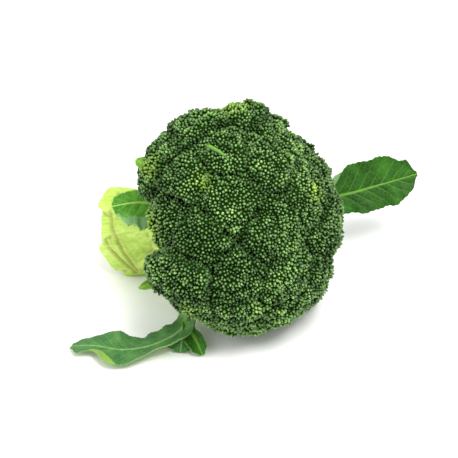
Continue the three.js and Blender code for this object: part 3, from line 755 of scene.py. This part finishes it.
def add_blade(shape, layers, leaf, steps, cells):
    """A closed blade: a grid that runs over its upper face and back along its lower one, with its rows
    closest where the leaf is broad."""
    path = Curve(leaf["rib"])
    across_top = np.linspace(-1, 1, cells + 1)
    t = np.concatenate([across_top, across_top[::-1], [-1]])
    upper = np.arange(len(t)) % (2 * cells + 2) <= cells
    made = bmesh.ops.create_grid(shape, x_segments=len(t) - 1, y_segments=steps, size=1)["verts"]
    made = sorted(made, key=lambda vert: (round(vert.co.y, 5), round(vert.co.x, 5)))
    for k in range(steps + 1):
        share = (k / steps) ** (1 - 0.6 * leaf["blade"])
        points, traits = leaf_section(leaf, path, share, t, upper)
        for j, vert in enumerate(made[k * len(t) : (k + 1) * len(t)]):
            vert.co = points[j] * MM
            for name, values in traits.items():
                vert[layers[name]] = values[j]
    bmesh.ops.remove_doubles(shape, verts=made, dist=SEAM * MM)
    bmesh.ops.holes_fill(shape, edges=[edge for edge in shape.edges if edge.is_boundary], sides=0)


def make_leaf(name, material, slot, node, *blades, steps=140, cells=44):
    """A leaf or a part of one, from its blades, as a piece."""
    shape = bmesh.new()
    for trait in LEAF_TRAITS:
        shape.verts.layers.float.new(trait)
    layers = {trait: shape.verts.layers.float[trait] for trait in LEAF_TRAITS}
    for blade in blades:
        add_blade(shape, layers, blade, steps, cells)
    bmesh.ops.recalc_face_normals(shape, faces=shape.faces)
    for vert in shape.verts:
        vert.co.z = max(vert.co.z, LEAF_REST * MM)
    finished(shape, name, material, node)


# Materials


def colour(hex_code):
    """An sRGB hex colour as linear red, green, blue and alpha."""
    channels = [int(hex_code[k : k + 2], 16) / 255 for k in (1, 3, 5)]
    return [*(c / 12.92 if c <= 0.04045 else ((c + 0.055) / 1.055) ** 2.4 for c in channels), 1]


def add(tree, kind, inputs=(), stops=(), **settings):
    """Adds a node with its inputs as values or other nodes' outputs, a ramp's colours, and its settings."""
    node = tree.nodes.new(f"ShaderNode{kind}")
    for name, value in settings.items():
        setattr(node, name, value)
    for _ in stops[2:]:
        node.color_ramp.elements.new(0.5)
    for k, (place, hex_code) in enumerate(stops):
        node.color_ramp.elements[k].position = place
        node.color_ramp.elements[k].color = colour(hex_code)
    for socket, value in dict(inputs).items():
        if isinstance(value, bpy.types.NodeSocket):
            tree.links.new(value, node.inputs[socket])
        else:
            node.inputs[socket].default_value = value
    return node.outputs


def new_material(name):
    """A material without nodes, and its node tree."""
    material = bpy.data.materials.new(name)
    material.use_nodes = True
    material.node_tree.nodes.clear()
    return material, material.node_tree


def repeats(millimetres):
    """How many times a pattern repeats in a metre, from its size."""
    return 1000 / millimetres


# The sockets that two colours are mixed by, and the mixed colour's.
SHARE, FROM, TO = 0, 6, 7
MIXED = 2


def make_bud_skin():
    """Living buds under a thin bloom of wax, grown packed together: a soft dry sheen, with a painted
    highlight on every bud's tip and nearly black painted shade at each bud's foot and on the bed between the
    buds, more painted shade in the crevices and between the tufts, whole patches that are lighter or darker,
    and young buds that are yellow-green."""
    material, tree = new_material("plant_buds_waxy")
    place = add(tree, "TexCoord")["Object"]
    names = ("tint_and_shade", "tip", "young", "stem")
    tint_and_shade, tip, young, stem = (add(tree, "Attribute", attribute_name=name)["Fac"] for name in names)
    patches = add(tree, "TexNoise", {"Vector": place, "Scale": repeats(45), "Detail": 2})["Fac"]
    sprays = add(tree, "TexNoise", {"Vector": place, "Scale": repeats(6), "Detail": 1})["Fac"]
    # The buds' shade value: random sprays and patches, each bud's own tone, and the painted shade of buds
    # that are shut in; the greens darken as it falls.
    shade = add(tree, "Math", {0: sprays, 1: 1.3, 2: -1.35}, operation="MULTIPLY_ADD")[0]
    shade = add(tree, "Math", {0: patches, 1: 1.4, 2: shade}, operation="MULTIPLY_ADD")[0]
    shade = add(tree, "Math", {0: tint_and_shade, 1: 0.8, 2: shade}, operation="MULTIPLY_ADD")[0]
    greens = [(0, "#264510"), (0.35, "#456c2b"), (0.7, "#5e8a38"), (1, "#82ae4c")]
    green = add(tree, "ValToRGB", {0: shade}, greens)[0]
    fresh = add(tree, "Mix", {SHARE: young, FROM: green, TO: colour("#93b93c")}, data_type="RGBA")[MIXED]
    # Painted highlight: the top of each bud is mixed towards a whitish green, lighter where the buds' shade
    # value is higher.
    tip_highlight_stops = [(0, "#5d7c4c"), (0.5, "#a3b98e"), (1, "#d4e2c2")]
    tip_highlight = add(tree, "ValToRGB", {0: shade}, tip_highlight_stops)[0]
    highlight_share = add(tree, "MapRange", {"Value": tip, "From Min": 0.86, "To Max": 0.75})[0]
    highlighted = add(tree, "Mix", {SHARE: highlight_share, FROM: fresh, TO: tip_highlight}, data_type="RGBA")[MIXED]
    # Painted shade: the foot of each bud and the bare bed between the buds are mixed towards a near-black
    # green.
    low_down = {"Value": tip, "From Min": 0.35, "From Max": 0.66, "To Min": 0.92, "To Max": 0}
    deep = add(tree, "MapRange", low_down)[0]
    bud = add(tree, "Mix", {SHARE: deep, FROM: highlighted, TO: colour("#122a09")}, data_type="RGBA")[MIXED]
    streaks = add(tree, "TexNoise", {"Vector": place, "Scale": repeats(3), "Detail": 4})["Fac"]
    stems = add(tree, "ValToRGB", {0: streaks}, [(0.3, "#84a64e"), (0.7, "#adc97a")])[0]
    surface = add(tree, "Mix", {SHARE: stem, FROM: bud, TO: stems}, data_type="RGBA")[MIXED]
    grain = add(tree, "TexNoise", {"Vector": place, "Scale": repeats(0.5), "Detail": 3})["Fac"]
    bump = add(tree, "Bump", {"Strength": 0.2, "Distance": 0.12 * MM, "Height": grain})[0]
    upper_half = {"Value": tip, "From Min": 0.5, "From Max": 0.8, "To Max": 0.4}
    sheen = add(tree, "MapRange", upper_half)[0]
    gloss = {"Base Color": surface, "Normal": bump, "Roughness": 0.42, "Specular IOR Level": sheen}
    shader = add(tree, "BsdfPrincipled", gloss)[0]
    add(tree, "OutputMaterial", {"Surface": shader})
    return material


FIBRE_STRETCH = 10  # how many times longer than wide the stalk's streaks are


def make_stalk_skin():
    """Thick living stem with a waxy skin, fibrous along its length: pale yellow-green with fine streaks,
    paler and dry where a knife has cut it, with a thin browned line round the cut."""
    material, tree = new_material("plant_stem_waxy")
    place = add(tree, "TexCoord")["Object"]
    lengthwise = {"Vector": place, "Rotation": (0, -STALK_TILT, 0), "Scale": (FIBRE_STRETCH, 1, 1)}
    stretched = add(tree, "Mapping", lengthwise, vector_type="TEXTURE")[0]
    fine = add(tree, "TexNoise", {"Vector": stretched, "Scale": repeats(1.6), "Detail": 5})["Fac"]
    broad = add(tree, "TexNoise", {"Vector": stretched, "Scale": repeats(9), "Detail": 2})["Fac"]
    streaks = add(tree, "Mix", {"Factor": 0.45, "A": fine, "B": broad})[0]
    greens = [(0.3, "#98ba3c"), (0.5, "#b7d756"), (0.7, "#d3ea7e")]
    skin = add(tree, "ValToRGB", {0: streaks}, greens)[0]
    # Darker olive-brown in the hollows of the skin, and along the browned folds.
    crease = add(tree, "Attribute", attribute_name="crease")["Fac"]
    folds = add(tree, "Math", {0: crease, 1: 0.75}, operation="MULTIPLY")[0]
    skin = add(tree, "Mix", {SHARE: folds, FROM: skin, TO: colour("#85822c")}, data_type="RGBA")[MIXED]
    length = add(tree, "SeparateXYZ", {0: stretched})[0]
    start, end = (at / FIBRE_STRETCH * MM for at in (2, 22))
    towards_crown = {"Value": length, "From Min": start, "From Max": end, "To Max": 0.6}
    near_crown = add(tree, "MapRange", towards_crown)[0]
    skin = add(tree, "Mix", {SHARE: near_crown, FROM: skin, TO: colour("#98b862")}, data_type="RGBA")[MIXED]
    cut = add(tree, "Attribute", attribute_name="cut")["Fac"]
    browned = add(tree, "ValToRGB", {0: cut}, [(0, "#000000"), (0.25, "#cccccc"), (0.6, "#000000")])[0]
    skin = add(tree, "Mix", {SHARE: browned, FROM: skin, TO: colour("#97803c")}, data_type="RGBA")[MIXED]
    pith = add(tree, "TexNoise", {"Vector": place, "Scale": repeats(2), "Detail": 4})["Fac"]
    flesh = add(tree, "ValToRGB", {0: pith}, [(0.35, "#cfdba0"), (0.65, "#e0e8bd")])[0]
    open_cut = add(tree, "MapRange", {"Value": cut, "From Min": 0.4, "From Max": 0.75})[0]
    surface = add(tree, "Mix", {SHARE: open_cut, FROM: skin, TO: flesh}, data_type="RGBA")[MIXED]
    bump = add(tree, "Bump", {"Strength": 0.35, "Distance": 0.4 * MM, "Height": streaks})[0]
    gloss = {"Base Color": surface, "Normal": bump, "Roughness": 0.42}
    flesh_glow = {"Subsurface Weight": 0.12, "Subsurface Radius": (0.6, 1, 0.25), "Subsurface Scale": 3 * MM}
    shader = add(tree, "BsdfPrincipled", gloss | flesh_glow)[0]
    add(tree, "OutputMaterial", {"Surface": shader})
    return material


def make_leaf_skin(name, greens, vein_shade, under_shade):
    """A living leaf, netted with veins, with a satin waxy upper face: a pale midrib and thin side veins that
    fade towards the edge, a faint net between them, and a duller, paler lower face."""
    material, tree = new_material(name)
    vein = colour(vein_shade)
    place = add(tree, "TexCoord")["Object"]
    traits = {trait: add(tree, "Attribute", attribute_name=trait)["Fac"] for trait in LEAF_TRAITS}
    patches = add(tree, "TexNoise", {"Vector": place, "Scale": repeats(11), "Detail": 4})["Fac"]
    green = add(tree, "ValToRGB", {0: patches}, list(zip((0.3, 0.5, 0.72), greens)))[0]
    cells = {"Vector": place, "Scale": repeats(2.6)}
    net = add(tree, "TexVoronoi", cells, feature="DISTANCE_TO_EDGE")[0]
    on_net = {"Value": net, "From Max": 0.12, "To Min": 0.16, "To Max": 0}
    net_line = add(tree, "MapRange", on_net)[0]
    netted = add(tree, "Mix", {SHARE: net_line, FROM: green, TO: vein}, data_type="RGBA")[MIXED]
    beside = add(tree, "Math", {0: traits["stride"], 1: 0.5}, operation="PINGPONG")[0]
    beside = add(tree, "Math", {0: traits["rim"], 1: 0.035, 2: beside}, operation="MULTIPLY_ADD")[0]
    on_vein = {"Value": beside, "From Min": 0.015, "From Max": 0.06, "To Min": 0.55, "To Max": 0}
    side_vein = add(tree, "MapRange", on_vein)[0]
    side_vein = add(tree, "Math", {0: side_vein, 1: traits["leafy"]}, operation="MULTIPLY")[0]
    veined = add(tree, "Mix", {SHARE: side_vein, FROM: netted, TO: vein}, data_type="RGBA")[MIXED]
    on_rib = {"Value": traits["rib"], "From Min": 0.45, "To Min": 0.9, "To Max": 0}
    midrib = add(tree, "MapRange", on_rib)[0]
    stem = add(tree, "Math", {0: 1, 1: traits["leafy"]}, operation="SUBTRACT")[0]
    pale_rib = add(tree, "Math", {0: midrib, 1: stem}, operation="MAXIMUM")[0]
    ribbed = add(tree, "Mix", {SHARE: pale_rib, FROM: veined, TO: vein}, data_type="RGBA")[MIXED]
    lower = add(tree, "Math", {0: traits["under"], 1: 0.75}, operation="MULTIPLY")[0]
    faced = add(tree, "Mix", {SHARE: lower, FROM: ribbed, TO: colour(under_shade)}, data_type="RGBA")[MIXED]
    edge = add(tree, "MapRange", {"Value": traits["rim"], "From Min": 0.97, "To Max": 0.35})[0]
    surface = add(tree, "Mix", {SHARE: edge, FROM: faced, TO: vein}, data_type="RGBA")[MIXED]
    fine = add(tree, "TexNoise", {"Vector": place, "Scale": repeats(0.7), "Detail": 3})["Fac"]
    relief = add(tree, "Math", {0: side_vein, 1: 1.5, 2: fine}, operation="MULTIPLY_ADD")[0]
    bump = add(tree, "Bump", {"Strength": 0.3, "Distance": 0.25 * MM, "Height": relief})[0]
    gloss = {"Base Color": surface, "Normal": bump, "Roughness": 0.5, "Specular IOR Level": 0.15}
    shader = add(tree, "BsdfPrincipled", gloss)[0]
    add(tree, "OutputMaterial", {"Surface": shader})
    return material


def make_floor_finish():
    """Matt white board, painted: even and without gloss."""
    material, tree = new_material("painted_board_matt")
    place = add(tree, "TexCoord")["Object"]
    mottle = add(tree, "TexNoise", {"Vector": place, "Scale": repeats(60), "Detail": 2})["Fac"]
    white = add(tree, "ValToRGB", {0: mottle}, [(0.3, "#f7f7f6"), (0.7, "#f9f9f8")])[0]
    shader = add(tree, "BsdfPrincipled", {"Base Color": white, "Roughness": 0.9})[0]
    add(tree, "OutputMaterial", {"Surface": shader})
    return material


# Camera and light


# The camera: its right, its up and the way it looks, and where the middle of the picture is, from the
# crown's centre, along the first two.
CAMERA_RIGHT = np.array([0.788, 0.616, 0])
CAMERA_UP = np.array([-0.3536, 0.4523, 0.819])
CAMERA_AHEAD = np.array([-0.5045, 0.6454, -0.574])
CAMERA_DISTANCE = 800
CAMERA_LENS = 99.8
CAMERA_SENSOR = 36
PICTURE_MIDDLE = -8.2, -6.3

FLOOR_HALF = 3  # metres, as are the lights' places and widths
WORLD_LIGHT = 0.95
HEAD_MIDDLE = Vector((0, 0, 0.06))


def set_camera():
    """The camera, at the height and turn that the head is seen from, without depth of field."""
    data = bpy.data.cameras.new("camera")
    data.lens = CAMERA_LENS
    data.sensor_width = CAMERA_SENSOR
    data.clip_start = 0.01
    camera = bpy.data.objects.new("camera", data)
    aim = CROWN_CENTRE + PICTURE_MIDDLE[0] * CAMERA_RIGHT + PICTURE_MIDDLE[1] * CAMERA_UP
    place = aim - CAMERA_DISTANCE * CAMERA_AHEAD
    turn = Matrix(np.stack([unit(CAMERA_RIGHT), unit(CAMERA_UP), -unit(CAMERA_AHEAD)], axis=1).tolist())
    camera.matrix_world = Matrix.Translation(Vector(place) * MM) @ turn.to_4x4()
    bpy.context.scene.collection.objects.link(camera)
    bpy.context.scene.camera = camera


def add_softbox(name, place, width, watts):
    """A square soft light, turned to the middle of the head."""
    data = bpy.data.lights.new(name, "AREA")
    data.size = width
    data.energy = watts
    light = bpy.data.objects.new(name, data)
    light.location = place
    light.rotation_euler = (HEAD_MIDDLE - Vector(place)).to_track_quat("-Z", "Y").to_euler()
    bpy.context.scene.collection.objects.link(light)


def set_studio():
    """A white board under the head, a key light from above at the right, a weak one from the front, and
    even light all round."""
    shape = bmesh.new()
    bmesh.ops.create_grid(shape, x_segments=2, y_segments=2, size=FLOOR_HALF)
    mesh = bpy.data.meshes.new("floor")
    shape.to_mesh(mesh)
    shape.free()
    mesh.materials.append(make_floor_finish())
    floor = bpy.data.objects.new("floor", mesh)
    bpy.context.scene.collection.objects.link(floor)
    world = bpy.data.worlds.new("even_light")
    world.use_nodes = True
    background = world.node_tree.nodes["Background"]
    background.inputs["Color"].default_value = colour("#ffffff")
    background.inputs["Strength"].default_value = WORLD_LIGHT
    bpy.context.scene.world = world
    add_softbox("key_light", (0.55, -0.2, 1.15), width=0.5, watts=13.5)
    add_softbox("fill_light", (-0.5, -0.8, 0.8), width=0.8, watts=3.5)
    bpy.context.scene.view_settings.view_transform = "Standard"


# Assembly

set_camera()
set_studio()

bud_skin = make_bud_skin()
stalk_skin = make_stalk_skin()
leaf_dark = make_leaf_skin("leaf_waxy_dark", ["#183f08", "#20500c", "#2f6615"], "#679a34", "#84ad78")
leaf_mid = make_leaf_skin("leaf_waxy_mid", ["#38771b", "#4c9026", "#68a938"], "#a9d163", "#7fa871")
leaf_pale = make_leaf_skin("leaf_waxy_pale", ["#2f5e30", "#42733a", "#5a8a48"], "#7da865", "#89ab4a")
leaf_young = make_leaf_skin("leaf_waxy_young", ["#4f7c1c", "#669428", "#80ab38"], "#7fa83a", "#86ac46")

sites = floret_sites()
walls = {site.number: walls_of(site, sites) for site in sites}
for site in sites:
    make_floret(site, sites, walls, bud_skin)
make_stalk(stalk_skin)
make_leaf("leaf_right_blade", leaf_dark, "leaf", "leaf_right", LEAF_RIGHT)
make_leaf("leaf_left_blade", leaf_mid, "leaf", "leaf_left", LEAF_LEFT)
make_leaf("leaf_lower_blade", leaf_pale, "leaf_pale", "leaf_lower", LEAF_LOWER, LOBE_FRONT)
# The lower leaf's side lobe takes the dark leaf skin: painted shade, for the shadow under the crown.
make_leaf("leaf_lower_lobe", leaf_dark, "leaf_pale", "leaf_lower", LOBE_SIDE, steps=70, cells=28)
make_leaf("leaflet_top", leaf_dark, "leaf", None, LEAFLET_TOP, steps=24, cells=8)
make_leaf("leaflet_back", leaf_young, "leaf", None, LEAFLET_BACK, steps=24, cells=8)
make_leaf("leaflet_front", leaf_young, "leaf", None, LEAFLET_FRONT, steps=24, cells=8)
